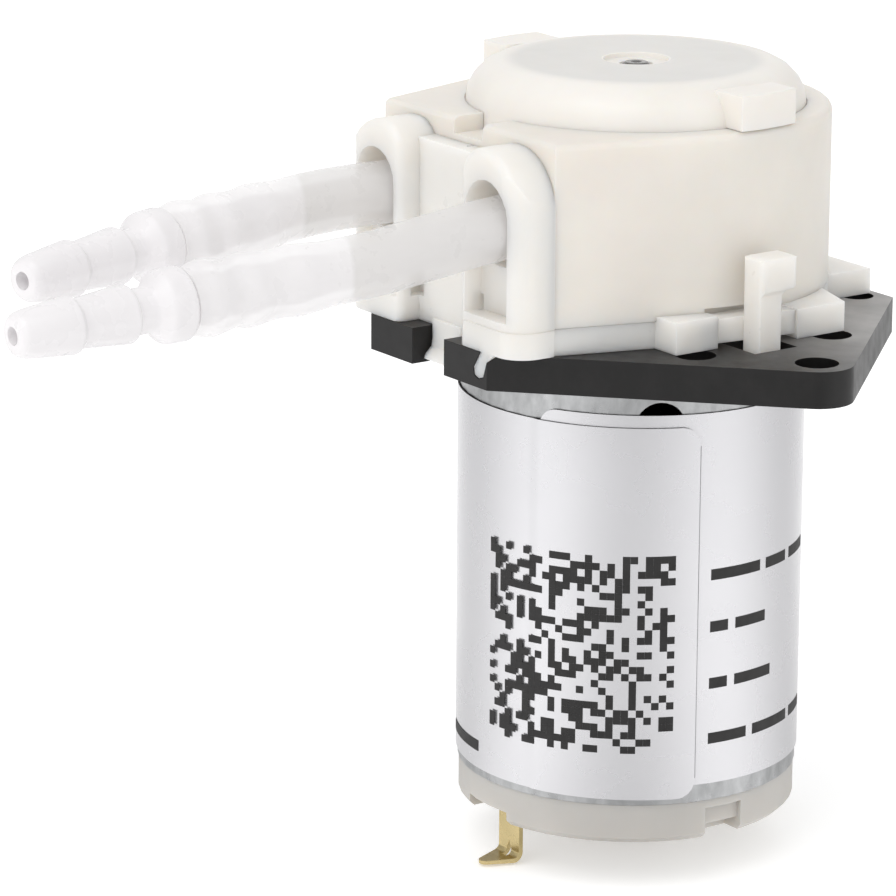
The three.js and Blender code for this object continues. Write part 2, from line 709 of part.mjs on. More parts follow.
function headHousing() {
  const z0 = SEAM_Z + 0.04;
  const front = HOOD_Y + 0.04;
  const block = softSlab(bodyOutline(), z0 - 2, LEDGE_Z, LEDGE_ROUND);
  const shell = common(block, box([-30, front, z0], [30, 30, 30]));
  const tools = [
    rod(RACE_R, 0, 17.4, 0, 0, 48),
    rod(12.6, 17, 18.2, 0, 0, 32),
    rod(COVER.r + 0.05, COVER.seat - 0.04, 25, 0, 0, 48),
    box([-LEDGE_NOTCH.half, -20, LEDGE_NOTCH.floor], [LEDGE_NOTCH.half, LEDGE_NOTCH.back, 25]),
  ];
  for (const side of [-1, 1]) {
    const place = (geometry) => (side > 0 ? geometry : mirrorX(geometry));
    tools.push(place(archTool(-21, -13)));
    tools.push(legTool(side));
    tools.push(place(box([14.45, LATCH_BAR.y0 - 0.2, 0], [18, LATCH_BAR.y1 + 0.2, 5.8])));
  }
  return cut(shell, ...tools);
}

function topCover() {
  const { r, seat, top, fillet, wall, dish, hole } = COVER;
  const profile = [[r - wall, seat], [r, seat]];
  for (let i = 0; i <= 5; i += 1) {
    const a = (i / 5) * 90 * DEG;
    profile.push([r - fillet + fillet * Math.cos(a), top - fillet + fillet * Math.sin(a)]);
  }
  profile.push([dish, top], [dish, top - 0.4], [hole, top - 0.4], [hole, BUSHING_TOP + 0.05]);
  profile.push([dish, BUSHING_TOP + 0.05], [dish, 19.3], [4.2, 19.3], [4.2, top - wall]);
  for (let i = 2; i >= 0; i -= 1) {
    const a = (i / 2) * 90 * DEG;
    const q = fillet - wall;
    profile.push([r - wall - q + q * Math.cos(a), top - wall - q + q * Math.sin(a)]);
  }
  profile.push([r - wall, seat]);
  const lug = COVER_LUG;
  const block = box([lug.inner, lug.y0, LEDGE_Z + 0.05], [lug.outer + 1, lug.y1, lug.top]);
  const ear = common(block, rod(lug.outer, LEDGE_Z, top, 0, 0, 72));
  return join(turned(profile, 44), ear, ear.clone().rotateZ(Math.PI));
}

// ---- roller carrier -----------------------------------------------------------------------

function rollerSpot(index) {
  const a = ((index * 360) / ROLLERS + 30) * DEG;
  return [ROLLER_PITCH * Math.cos(a), ROLLER_PITCH * Math.sin(a)];
}

function carrierPlate(z0, z1) {
  const outline = [];
  for (let i = 0; i < ROLLERS; i += 1) outline.push(...circle(...rollerSpot(i), 3.4, 24));
  const tools = [rod(2.2, z0 - 1, z1 + 1)];
  for (let i = 0; i < ROLLERS; i += 1) {
    const [x, y] = rollerSpot(i);
    tools.push(rod(PIN_R + 0.02, z0 - 1, z1 + 1, x, y, 16));
  }
  return cut(slab(hull(outline), z0, z1), ...tools);
}

function roller(index) {
  const [x, y] = rollerSpot(index);
  const low = TUBE_Z - ROLLER_H / 2;
  const high = TUBE_Z + ROLLER_H / 2;
  const inner = PIN_R + 0.05;
  return turned([
    [inner, low], [ROLLER_R - 0.4, low], [ROLLER_R, low + 0.4], [ROLLER_R, high - 0.4],
    [ROLLER_R - 0.4, high], [inner, high], [inner, low],
  ], 36).translate(x, y, 0);
}

// ---- assembly -----------------------------------------------------------------------------

add('mounting_plate', mountingPlate(), MAT.black);
add('motor_can', motorCan(), MAT.steel);
add('motor_endcap', motorEndcap(), MAT.nylon);
add('motor_label', motorLabel(), MAT.label);
add('terminal_front', terminal(), MAT.brass);
add('terminal_back', terminal().rotateZ(Math.PI), MAT.brass);
add('front_bearing', pipe(3.0, SHAFT_R + 0.04, -0.4, 2.0, 40), MAT.bronze);
add('rear_bearing', pipe(3.2, SHAFT_R + 0.04, CAP_BOTTOM + 0.1, -34.2, 40), MAT.bronze);
add('magnet_right', magnet(1), MAT.ferrite);
add('magnet_left', magnet(-1), MAT.ferrite);
add('brush_right', brush(1), MAT.carbon);
add('brush_left', brush(-1), MAT.carbon);
add('plate_screw_front', plateScrew(-1), MAT.steel);
add('plate_screw_back', plateScrew(1), MAT.steel);

add('motor_shaft', motorShaft(), MAT.shaft);
add('armature_core', armatureCore(), MAT.steel);
for (let i = 0; i < CORE.teeth; i += 1) add(`winding_${i + 1}`, winding(i), MAT.copper);
add('commutator', pipe(3.0, SHAFT_R + 0.02, -33.2, -28.6, 36), MAT.copper);
add('drive_sleeve', pipe(SLEEVE_R, SHAFT_R + 0.02, 8.7, 16.7, 48), MAT.steel);

add('head_base', headBase(), MAT.white);
add('head_housing', headHousing(), MAT.ivory);
add('top_cover', topCover(), MAT.cover);
add('cover_bushing', pipe(COVER.dish - 0.04, SHAFT_R + 0.05, 19.4, BUSHING_TOP, 40), MAT.bronze);
add('latch_right', latch(), MAT.white);
add('latch_left', mirrorX(latch()), MAT.white);
add('silicone_tube', siliconeTube(), MAT.silicone);
add('connector_front', connector(FRONT_START, FRONT_DIR), MAT.connector);
add('connector_back', connector(BACK_START, BACK_DIR), MAT.connector);

add('carrier_lower', carrierPlate(7.0, 8.6), MAT.black);
add('carrier_upper', carrierPlate(16.8, 18.2), MAT.black);
for (let i = 0; i < ROLLERS; i += 1) {
  const [x, y] = rollerSpot(i);
  add(`roller_pin_${i + 1}`, rod(PIN_R, 7.1, 18.1, x, y, 16), MAT.shaft);
  add(`roller_${i + 1}`, roller(i), MAT.roller);
}

export default group;
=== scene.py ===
"""Peristaltic pump: finishes, tube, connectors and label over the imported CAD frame."""

import json
import math
import random

import bmesh
import bpy
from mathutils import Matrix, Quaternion, Vector


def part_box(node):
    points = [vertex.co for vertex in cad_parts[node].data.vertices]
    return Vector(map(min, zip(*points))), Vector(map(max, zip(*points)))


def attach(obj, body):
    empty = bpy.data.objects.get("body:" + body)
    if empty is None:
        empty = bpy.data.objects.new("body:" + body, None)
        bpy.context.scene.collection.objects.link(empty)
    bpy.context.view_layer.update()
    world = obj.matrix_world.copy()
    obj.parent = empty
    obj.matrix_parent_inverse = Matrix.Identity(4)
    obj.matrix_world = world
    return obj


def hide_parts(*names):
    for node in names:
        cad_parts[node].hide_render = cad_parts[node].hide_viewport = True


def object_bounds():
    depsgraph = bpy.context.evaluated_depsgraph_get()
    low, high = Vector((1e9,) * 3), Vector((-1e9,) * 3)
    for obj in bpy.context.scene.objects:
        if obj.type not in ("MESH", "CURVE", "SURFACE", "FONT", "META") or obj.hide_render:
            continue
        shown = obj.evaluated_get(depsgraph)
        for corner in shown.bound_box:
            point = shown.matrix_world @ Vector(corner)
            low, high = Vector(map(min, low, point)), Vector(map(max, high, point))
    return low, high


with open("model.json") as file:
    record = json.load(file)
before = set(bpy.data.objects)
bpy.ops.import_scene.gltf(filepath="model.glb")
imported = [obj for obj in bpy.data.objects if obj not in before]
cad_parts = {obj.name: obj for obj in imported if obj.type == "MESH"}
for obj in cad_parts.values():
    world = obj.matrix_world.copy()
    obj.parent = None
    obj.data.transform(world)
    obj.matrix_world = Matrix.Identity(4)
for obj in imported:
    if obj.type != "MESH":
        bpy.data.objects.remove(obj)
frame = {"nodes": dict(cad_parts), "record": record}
cad_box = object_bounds()

# Sizes below are millimetres from the motor axis at the underside of the mounting plate.
MM = 0.001
shaft_low, shaft_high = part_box("motor_shaft")
AXIS = Vector(((shaft_low.x + shaft_high.x) / 2, (shaft_low.y + shaft_high.y) / 2, 0))

# Tube and connectors
# Outer and inner radius of the round tube, height of its loop, and where it leaves the ports
TUBE_R = 2.5
TUBE_BORE = 1.5
TUBE_Z = 12.7
PORT_X = 7.5
# The loop runs LOOP_END past each side; the bends BEND_R turn it towards the ports
LOOP_R = 13.0
LOOP_END = math.radians(38)
BEND_R = 12.7
# Half width and half height of the squeezed tube and of the slit left in its bore
FLAT_HALF = 0.88
FLAT_HEIGHT = 3.45
SLIT_HALF = 0.1
SLIT_HEIGHT = 2.5
# How far the tube is pushed over the spigot, the play left round it, and the share of the
# bore's stretch that reaches the outer wall
GRIP = 14.4
SPIGOT_PLAY = 0.03
STRETCH_SHARE = 0.8
CONNECTOR_L = 28.75
CONNECTOR_BORE = 0.7
# Barbs under the tube: distance of each crest from the tube's end, and its height on the spigot;
# then the lengths of a barb's steep side, towards the tube's end, and of its gentle side
BARBS = ((1.9, 0.42), (5.3, 0.3), (9.6, 0.2))
BARB_STEEP = 1.5
BARB_GENTLE = 2.2
# The spigot narrows from SPIGOT_R to NOSE_R over its last NOSE_L
SPIGOT_R = 1.6
NOSE_R = 1.15
NOSE_L = 3
# Where each spigot's nose is, and which way its connector points
FRONT_START = Vector((PORT_X, -32.8, 11.15))
FRONT_DIR = Vector((0, -1, -0.039)).normalized()
BACK_START = Vector((-7.2, -27.5, 12.6))
BACK_DIR = Vector((0.208, -0.978, -0.035)).normalized()
# The noses of both spigots lie on one slanting line across the two tubes
NOSE_SLANT = (BACK_START.y - FRONT_START.y) / (FRONT_START.x - BACK_START.x)
NOSE_AT = FRONT_START.y + NOSE_SLANT * FRONT_START.x

# Label: one strip wound round the can, dropping a little with each turn
LABEL_R = 13.87
LABEL_T = 0.13
LABEL_START = math.radians(-68)
LABEL_END = math.radians(345.6)
LABEL_TOP = -2.9
LABEL_HEIGHT = 30.6
LABEL_DROP = 1.0
LABEL_CORNER = 1.5
# The overlapping end stands LAP_RISE film thicknesses further out than the first turn;
# ink and the painted seam shadow keep FILM_GAP from the film
LAP_RISE = 1.15
FILM_GAP = 0.004
# Painted shadow line at the step along the strip's end: its width, its distance from the end and
# from the strip's corners, and how far the strip has dropped by there
SEAM_WIDTH = 0.11
SEAM_GAP = 0.01
SEAM_INSET = 1.6
SEAM_DROP = 1.15
# A face of the strip that points this little outwards is one of its cut edges
EDGE_FACING = 0.5

# Printing on the label: a square of scattered blocks, four rows of dashes and one dash behind
INK_T = 0.015
CODE_LEFT = math.radians(-88)
CODE_TOP = -14.4
CODE_SIDE = 16.3
CODE_CELLS = 27
CODE_FILL = 0.47
CODE_SEED = 11
CELL_GAP = 0.004
# Height of each row and the lengths of its dashes, in steps of DASH_STEP
DASH_ROWS = ((-16.3, (12, 7, 9)), (-20.6, (4, 8)), (-25.3, (4, 10)), (-29.9, (9, 12, 8)))
DASH_START = math.radians(-9.5)
DASH_STEP = math.radians(1.7)
DASH_GAP = math.radians(3)
DASH_HALF = 0.45
LONE_DASH = (math.radians(-121), math.radians(-95.5), -33.0, -32.1)

# Uneven studio: light and dark sectors around the object, as the shiny label mirrors them
SECTORS = 3
SECTOR_PHASE = 0.37
SECTOR_SWING = 0.2
# Strength of the surroundings low down and high up
WORLD_LOW = 0.56
WORLD_HIGH = 0.84
# Floor: half its side, and its distance below the object, in metres
FLOOR_SIZE = 3.0
FLOOR_GAP = 0.0002
# Lamps: azimuth and elevation in degrees, distance and size in metres, power in watts
KEY_LAMP = (25, 55, 0.9, 0.6, 1.7)
FILL_LAMP = (30, 14, 1.0, 0.7, 0.9)

# Camera: DISTANCE from TARGET in the direction AZIMUTH, ELEVATION; azimuth 0 is the tube side
AZIMUTH = math.radians(54.88)
ELEVATION = math.radians(15.37)
ROLL = math.radians(0.31)
DISTANCE = 393.47
TARGET = Vector((-6.50, -13.46, -8.84))
LENS = 196.55


# ---- materials ----------------------------------------------------------------------------

# Most of a noise texture's values lie between these two.
NOISE_LOW = 0.3
NOISE_HIGH = 0.7
# Zones of the cover, mm from the motor axis.
DISH_R = 2.75
COVER_FLAT_R = 9.2
COVER_RIM_R = 10.9
# The painted sheen on top of the plate sets in and is full at these distances behind the motor
# axis, mm.
SHEEN_FROM = -6
SHEEN_FULL = 12
# The tube's painted shade beyond the spigots' noses sets in within this distance of them, mm.
NOSE_FADE = 0.3


def arithmetic(tree, operation, *values):
    """A math node fed with sockets and plain numbers."""
    made = tree.nodes.new("ShaderNodeMath")
    made.operation = operation
    for slot, value in zip(made.inputs, values):
        if isinstance(value, bpy.types.NodeSocket):
            tree.links.new(value, slot)
        else:
            slot.default_value = value
    return made.outputs["Value"]


class Shader:
    """A material under construction, with short calls for the nodes used here."""

    def __init__(self, name):
        self.material = bpy.data.materials.new(name)
        self.material.use_nodes = True
        self.tree = self.material.node_tree
        self.tree.nodes.clear()
        self.bsdf = self.node("ShaderNodeBsdfPrincipled")
        self.output = self.node("ShaderNodeOutputMaterial")
        self.link(self.bsdf.outputs["BSDF"], self.output.inputs["Surface"])
        self.coords = self.node("ShaderNodeTexCoord")

    def node(self, kind, **settings):
        made = self.tree.nodes.new(kind)
        for key, value in settings.items():
            setattr(made, key, value)
        return made

    def link(self, source, target):
        self.tree.links.new(source, target)

    def set(self, **values):
        for key, value in values.items():
            self.bsdf.inputs[key.replace("_", " ")].default_value = value

    def noise(self, scale, detail=4.0, stretch=(1, 1, 1), roughness=0.55):
        """Noise over object coordinates; scale is in cycles per metre."""
        mapping = self.node("ShaderNodeMapping")
        mapping.inputs["Scale"].default_value = stretch
        self.link(self.coords.outputs["Object"], mapping.inputs["Vector"])
        made = self.node("ShaderNodeTexNoise")
        made.inputs["Scale"].default_value = scale
        made.inputs["Detail"].default_value = detail
        made.inputs["Roughness"].default_value = roughness
        self.link(mapping.outputs["Vector"], made.inputs["Vector"])
        return made.outputs["Fac"]

    def ramp(self, value, *stops):
        made = self.node("ShaderNodeValToRGB")
        elements = made.color_ramp.elements
        while len(elements) < len(stops):
            elements.new(0.5)
        for element, (position, color) in zip(elements, stops):
            element.position = position
            element.color = (*color, 1) if len(color) == 3 else color
        self.link(value, made.inputs["Fac"])
        return made.outputs["Color"]

    def cloudy(self, value, low, high):
        """A colour that drifts between two shades with a noise value."""
        return self.ramp(value, (NOISE_LOW, low), (NOISE_HIGH, high))

    def spread(self, value, low, high):
        """Maps a noise value to the range low..high."""
        made = self.node("ShaderNodeMapRange")
        made.inputs["From Min"].default_value = NOISE_LOW
        made.inputs["From Max"].default_value = NOISE_HIGH
        made.inputs["To Min"].default_value = low
        made.inputs["To Max"].default_value = high
        self.link(value, made.inputs["Value"])
        return made.outputs["Result"]

    def blend(self, amount, first, second, kind="MIX"):
        """The first colour blended with the second; amount is a socket or a number."""
        made = self.node("ShaderNodeMix", data_type="RGBA", blend_type=kind)
        if isinstance(amount, bpy.types.NodeSocket):
            self.link(amount, made.inputs["Factor"])
        else:
            made.inputs["Factor"].default_value = amount
        self.link(first, made.inputs["A"])
        self.link(second, made.inputs["B"])
        return made.outputs["Result"]

    def bump(self, height, strength, distance):
        made = self.node("ShaderNodeBump")
        made.inputs["Strength"].default_value = strength
        made.inputs["Distance"].default_value = distance
        self.link(height, made.inputs["Height"])
        self.link(made.outputs["Normal"], self.bsdf.inputs["Normal"])
        return made

    def from_axis(self):
        """Object coordinates measured from the motor axis."""
        offset = self.node("ShaderNodeVectorMath", operation="SUBTRACT")
        offset.inputs[1].default_value = AXIS
        self.link(self.coords.outputs["Object"], offset.inputs[0])
        return offset.outputs["Vector"]

    def along(self, direction, low, high):
        """Rises smoothly from 0 to 1 between two distances, mm, along a direction from the axis."""
        reach = self.node("ShaderNodeVectorMath", operation="DOT_PRODUCT")
        reach.inputs[1].default_value = direction
        self.link(self.from_axis(), reach.inputs[0])
        fade = self.node("ShaderNodeMapRange", interpolation_type="SMOOTHSTEP")
        fade.inputs["From Min"].default_value = low * MM
        fade.inputs["From Max"].default_value = high * MM
        self.link(reach.outputs["Value"], fade.inputs["Value"])
        return fade.outputs["Result"]

    def color(self, socket):
        self.link(socket, self.bsdf.inputs["Base Color"])

    def roughness(self, socket):
        self.link(socket, self.bsdf.inputs["Roughness"])


def tinted(color, amount):
    """A slightly darker and a slightly lighter version of a colour."""
    low = tuple(channel * (1 - amount) for channel in color)
    high = tuple(min(1, channel * (1 + amount)) for channel in color)
    return low, high


def plastic(name, color, roughness, glow, glow_depth, variation=0.03, grain=0.012, light=0.0):
    """Moulded plastic: light scattered inside, cloudy colour and a fine orange-peel surface."""
    shader = Shader(name)
    low, high = tinted(color, variation)
    shader.color(shader.cloudy(shader.noise(130), low, high))
    shader.roughness(shader.spread(shader.noise(420), roughness - 0.05, roughness + 0.05))
    shader.set(Subsurface_Weight=glow, Subsurface_Scale=1.0, IOR=1.47)
    shader.set(Subsurface_Radius=glow_depth)
    # The light argument is a painted glow: emission in the plastic's own colour.
    shader.set(Emission_Color=(*color, 1), Emission_Strength=light)
    shader.bump(shader.noise(2600, 2), grain * 10, grain * MM)
    return shader.material


def metal(name, color, roughness, scale=600, stretch=(1, 1, 1), variation=0.08):
    """Bare metal with fine grain, cloudy brightness and uneven gloss."""
    shader = Shader(name)
    low, high = tinted(color, variation)
    shader.color(shader.cloudy(shader.noise(scale, 6, stretch), low, high))
    shader.roughness(shader.spread(shader.noise(scale * 1.7), roughness - 0.07, roughness + 0.07))
    shader.set(Metallic=1.0)
    shader.bump(shader.noise(scale * 3, 3, stretch), 0.15, 0.01 * MM)
    return shader.material


def ivory_plastic():
    color = (0.83, 0.785, 0.725)
    return plastic("ivory_plastic", color, 0.42, 0.5, (0.0024, 0.0018, 0.0013))


def white_plastic():
    """Slightly glossier than the housing; thin enough to let some light through, plus a faint
    painted glow.
    """
    color = (0.81, 0.785, 0.745)
    return plastic("white_plastic", color, 0.32, 0.9, (0.003, 0.0027, 0.0024), 0.02, light=0.05)


def cover_plastic():
    """Ivory rim and dish; the thin flat centre looks greyer because the hollow shows through."""
    shader = Shader("cover_plastic")
    flat = shader.node("ShaderNodeVectorMath", operation="MULTIPLY")
    flat.inputs[1].default_value = (1, 1, 0)
    shader.link(shader.from_axis(), flat.inputs[0])
    radius = shader.node("ShaderNodeVectorMath", operation="LENGTH")
    shader.link(flat.outputs["Vector"], radius.inputs[0])
    zone = shader.node("ShaderNodeMapRange", interpolation_type="SMOOTHSTEP")
    zone.inputs["From Min"].default_value = COVER_FLAT_R * MM
    zone.inputs["From Max"].default_value = COVER_RIM_R * MM
    shader.link(radius.outputs["Value"], zone.inputs["Value"])
    dish = arithmetic(shader.tree, "LESS_THAN", radius.outputs["Value"], DISH_R * MM)
    bright = arithmetic(shader.tree, "MAXIMUM", zone.outputs["Result"], dish)
    centre = shader.cloudy(shader.noise(90, 3), (0.73, 0.715, 0.685), (0.77, 0.75, 0.72))
    rim = shader.cloudy(shader.noise(130), (0.88, 0.84, 0.785), (0.92, 0.88, 0.83))
    shader.color(shader.blend(bright, centre, rim))
    shader.roughness(shader.spread(shader.noise(400), 0.3, 0.4))
    shader.set(Subsurface_Weight=0.3, Subsurface_Scale=1.0)
    shader.set(Subsurface_Radius=(0.002, 0.0015, 0.001))
    shader.bump(shader.noise(2600, 2), 0.1, 0.01 * MM)
    return shader.material


def black_plastic():
    """Black moulding with a satin sheen and faint streaks, and a grey painted sheen on top towards
    the back.
    """
    shader = Shader("black_plastic")
    streaks = shader.noise(260, 8, (0.25, 1.6, 1.0), 0.7)
    black = shader.ramp(streaks, (0.45, (0.004, 0.0035, 0.0035)), (0.8, (0.011, 0.01, 0.01)))
    # Painted sheen: grey on the top faces, fading in towards the back.
    painted_sheen = shader.cloudy(shader.noise(300, 6), (0.26, 0.255, 0.25), (0.36, 0.35, 0.345))
    upward = shader.node("ShaderNodeSeparateXYZ")
    shader.link(shader.node("ShaderNodeNewGeometry").outputs["Normal"], upward.inputs["Vector"])
    amount = shader.node("ShaderNodeMath", operation="MULTIPLY", use_clamp=True)
    shader.link(shader.along((0, 1, 0), SHEEN_FROM, SHEEN_FULL), amount.inputs[0])
    shader.link(upward.outputs["Z"], amount.inputs[1])
    shader.color(shader.blend(amount.outputs["Value"], black, painted_sheen))
    shader.roughness(shader.spread(shader.noise(500), 0.34, 0.44))
    shader.set(Specular_IOR_Level=0.38)
    shader.bump(shader.noise(2200, 3), 0.2, 0.015 * MM)
    return shader.material


def label_film():
    """Silvered film under a clear coat, slightly wavy where it is glued."""
    shader = Shader("label_film")
    shader.color(shader.cloudy(shader.noise(60, 2), (0.695, 0.69, 0.71), (0.725, 0.72, 0.74)))
    shader.set(Metallic=0.75, Coat_Weight=0.2, Coat_Roughness=0.12)
    shader.roughness(shader.spread(shader.noise(200), 0.24, 0.3))
    shader.bump(shader.noise(90, 2), 0.12, 0.05 * MM)
    return shader.material


def label_edge_shade():
    """The cut edge of the film, painted dark as shade along the edge."""
    shader = Shader("label_edge_shade")
    shader.color(shader.cloudy(shader.noise(500), (0.1, 0.1, 0.1), (0.2, 0.2, 0.2)))
    shader.roughness(shader.spread(shader.noise(900), 0.5, 0.6))
    return shader.material


def painted_seam_shadow():
    """Grey painted shadow at the step along the strip's end, with lighter and darker stretches."""
    shader = Shader("painted_seam_shadow")
    shader.color(shader.cloudy(shader.noise(250), (0.24, 0.24, 0.25), (0.42, 0.42, 0.43)))
    shader.roughness(shader.spread(shader.noise(900), 0.4, 0.5))
    return shader.material


def label_ink():
    """Matt black printing ink."""
    shader = Shader("label_ink")
    shader.color(shader.cloudy(shader.noise(700), (0.008, 0.007, 0.007), (0.016, 0.015, 0.015)))
    shader.roughness(shader.spread(shader.noise(900), 0.5, 0.6))
    return shader.material


def silicone():
    """Milky clear rubber with painted shade: darker where the bore is hollow, whiter where the
    connectors' spigots fill it.
    """
    shader = Shader("silicone")
    # Painted shade: the tube darkens past the spigots' noses, where its hollow bore is in shade.
    bare = shader.along((NOSE_SLANT, 1, 0), NOSE_AT - NOSE_FADE, NOSE_AT + NOSE_FADE)
    base = shader.ramp(bare, (0.0, (0.95, 0.935, 0.94)), (1.0, (0.81, 0.795, 0.785)))
    cloud = shader.cloudy(shader.noise(110), (0.94, 0.94, 0.94), (1, 1, 1))
    shader.color(shader.blend(1, base, cloud, "MULTIPLY"))
    shader.roughness(shader.spread(shader.noise(350), 0.24, 0.34))
    shader.set(Alpha=0.62, IOR=1.41)
    # Painted glow: a faint emission stands for light coming through the rubber.
    shader.set(Emission_Color=(1, 0.975, 0.975, 1), Emission_Strength=0.08)
    return shader.material


def connector_plastic():
    """Cloudy natural plastic, a little clearer at thin edges."""
    shader = Shader("connector_plastic")
    shader.color(shader.cloudy(shader.noise(120), (0.91, 0.89, 0.9), (0.95, 0.93, 0.94)))
    shader.roughness(shader.spread(shader.noise(350), 0.22, 0.32))
    shader.set(Alpha=0.84, IOR=1.5)
    # Painted glow: a faint emission stands for light coming through the plastic.
    shader.set(Emission_Color=(1, 0.975, 0.985, 1), Emission_Strength=0.03)
    return shader.material


def make_finishes():
    """One material per material slot of the record."""
    return {
        "black_plastic": black_plastic(),
        # The can's steel colour is darkened as painted shade from the mounting plate above it.
        "can_steel": metal("can_steel", (0.43, 0.435, 0.44), 0.32, 900, (1, 1, 0.5), 0.2),
        "nylon": plastic("nylon", (0.54, 0.52, 0.49), 0.45, 0.3, (0.0025, 0.002, 0.0015), 0.04),
        "label_film": label_film(),
        "brass": metal("brass", (0.58, 0.47, 0.24), 0.26, 500),
        "bronze": metal("bronze", (0.36, 0.27, 0.19), 0.45, 1400, variation=0.2),
        "ferrite": plastic("ferrite", (0.05, 0.05, 0.055), 0.6, 0.0, (0.001,) * 3, 0.15, 0.03),
        "carbon": plastic("carbon", (0.03, 0.03, 0.03), 0.7, 0.0, (0.001,) * 3, 0.15, 0.03),
        "screw_steel": metal("screw_steel", (0.55, 0.56, 0.58), 0.3),
        "shaft_steel": metal("shaft_steel", (0.24, 0.235, 0.23), 0.2, 900, variation=0.4),
        "core_steel": metal("core_steel", (0.35, 0.35, 0.36), 0.45, 300, (0.1, 0.1, 6)),
        "copper": metal("copper", (0.6, 0.28, 0.14), 0.3, 700, (0.4, 0.4, 5)),
        "white_plastic": white_plastic(),
        "ivory_plastic": ivory_plastic(),
        "cover_plastic": cover_plastic(),
        "silicone": silicone(),
        "connector_plastic": connector_plastic(),
        "roller_plastic": plastic("roller_plastic", (0.8, 0.79, 0.77), 0.25, 0.2, (0.002,) * 3),
    }


# ---- CAD nodes ----------------------------------------------------------------------------

# Faces that meet flatter than MERGE_ANGLE become one, edges sharper than ROUND_ANGLE are
# rounded, and edges sharper than SHADE_ANGLE keep a crease in the shading.
MERGE_ANGLE = math.radians(0.6)
ROUND_ANGLE = math.radians(35)
SHADE_ANGLE = math.radians(40)
# Rounding of moulded and pressed edges, mm; nodes not listed get EDGE.
EDGE = 0.08
EDGES = {
    "head_housing": 0.2,
    "head_base": 0.25,
    "top_cover": 0.3,
    "latch_right": 0.14,
    "latch_left": 0.14,
    "mounting_plate": 0.22,
    "motor_endcap": 0.18,
    "motor_can": 0.12,
    "terminal_front": 0.1,
    "terminal_back": 0.1,
}


def shading_group(name, angle):
    """Geometry nodes that shade a mesh smooth, except at edges sharper than angle."""
    tree = bpy.data.node_groups.new(name, "GeometryNodeTree")
    tree.interface.new_socket("Geometry", in_out="INPUT", socket_type="NodeSocketGeometry")
    tree.interface.new_socket("Geometry", in_out="OUTPUT", socket_type="NodeSocketGeometry")
    source = tree.nodes.new("NodeGroupInput")
    target = tree.nodes.new("NodeGroupOutput")
    strip = tree.nodes.new("GeometryNodeRemoveAttribute")
    strip.inputs["Name"].default_value = "custom_normal"
    faces = tree.nodes.new("GeometryNodeSetShadeSmooth")
    edges = tree.nodes.new("GeometryNodeSetShadeSmooth")
    edges.domain = "EDGE"
    edge_angle = tree.nodes.new("GeometryNodeInputMeshEdgeAngle")
    flatter = tree.nodes.new("FunctionNodeCompare")
    flatter.operation = "LESS_THAN"
    flatter.inputs["B"].default_value = angle
    link = tree.links.new
    link(source.outputs[0], strip.inputs["Geometry"])
    link(strip.outputs["Geometry"], faces.inputs["Geometry"])
    link(faces.outputs["Geometry"], edges.inputs["Geometry"])
    link(edge_angle.outputs["Unsigned Angle"], flatter.inputs["A"])
    link(flatter.outputs["Result"], edges.inputs["Shade Smooth"])
    link(edges.outputs["Geometry"], target.inputs[0])
    return tree


def refine(node, width, shading):
    """Rounds a CAD node's edges and shades it smooth, without touching its mesh."""
    obj = frame["nodes"][node]
    weld = obj.modifiers.new("weld", "WELD")
    weld.merge_threshold = 1e-6
    flatten = obj.modifiers.new("flatten", "DECIMATE")
    flatten.decimate_type = "DISSOLVE"
    flatten.angle_limit = MERGE_ANGLE
    round_off = obj.modifiers.new("round", "BEVEL")
    round_off.width = width * MM
    round_off.segments = 3
    round_off.limit_method = "ANGLE"
    round_off.angle_limit = ROUND_ANGLE
    smooth = obj.modifiers.new("smooth", "NODES")
    smooth.node_group = shading
    obj.modifiers.new("normals", "WEIGHTED_NORMAL").keep_sharp = True


def finish_cad_nodes(finishes, shading):
    slots = {part["node"]: part["material_slot"] for part in frame["record"]["subparts"]}
    for node, obj in frame["nodes"].items():
        obj.material_slots[0].material = finishes[slots[node]]
        refine(node, EDGES.get(node, EDGE), shading)


# ---- mesh helpers -------------------------------------------------------------------------

# Edges flatter than this are shaded smooth.
SMOOTH_ANGLE = math.radians(35)


def make_piece(name, points, faces, slot, finishes, replaced=None):
    """A closed mesh from millimetre points, riding on the pump's frame."""
    mesh = bpy.data.meshes.new(name)
    mesh.from_pydata([AXIS + Vector(point) * MM for point in points], [], faces)
    work = bmesh.new()
    work.from_mesh(mesh)
    bmesh.ops.recalc_face_normals(work, faces=work.faces)
    for edge in work.edges:
        edge.smooth = edge.calc_face_angle(0) < SMOOTH_ANGLE
    for face in work.faces:
        face.smooth = True
    work.to_mesh(mesh)
    work.free()
    obj = bpy.data.objects.new(name, mesh)
    bpy.context.scene.collection.objects.link(obj)
    mesh.materials.append(finishes[slot])
    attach(obj, "pump_frame")
    if replaced:
        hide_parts(replaced)
    return obj


def ring_faces(rings, around, closed_ends=False):
    """Quads between rings of points; the last ring joins the first if closed_ends."""
    faces = []
    count = rings if closed_ends else rings - 1
    for i in range(count):
        a, b = i * around, ((i + 1) % rings) * around
        for j in range(around):
            k = (j + 1) % around
            faces.append((a + j, a + k, b + k, b + j))
    return faces


def round_corners(profile, radius, steps=3):
    """Replaces each inner corner of an open polyline with a small curve."""
    points = [Vector(profile[0])]
    for before, corner, after in zip(profile, profile[1:], profile[2:]):
        corner = Vector(corner)
        back, ahead = Vector(before) - corner, Vector(after) - corner
        reach = min(radius, back.length * 0.45, ahead.length * 0.45)
        start, end = corner + back.normalized() * reach, corner + ahead.normalized() * reach
        for i in range(steps + 1):
            t = i / steps
            points.append(start.lerp(corner, t).lerp(corner.lerp(end, t), t))
    points.append(Vector(profile[-1]))
    return points


# ---- tube ---------------------------------------------------------------------------------


def smoothstep(t):
    return t * t * (3 - 2 * t)


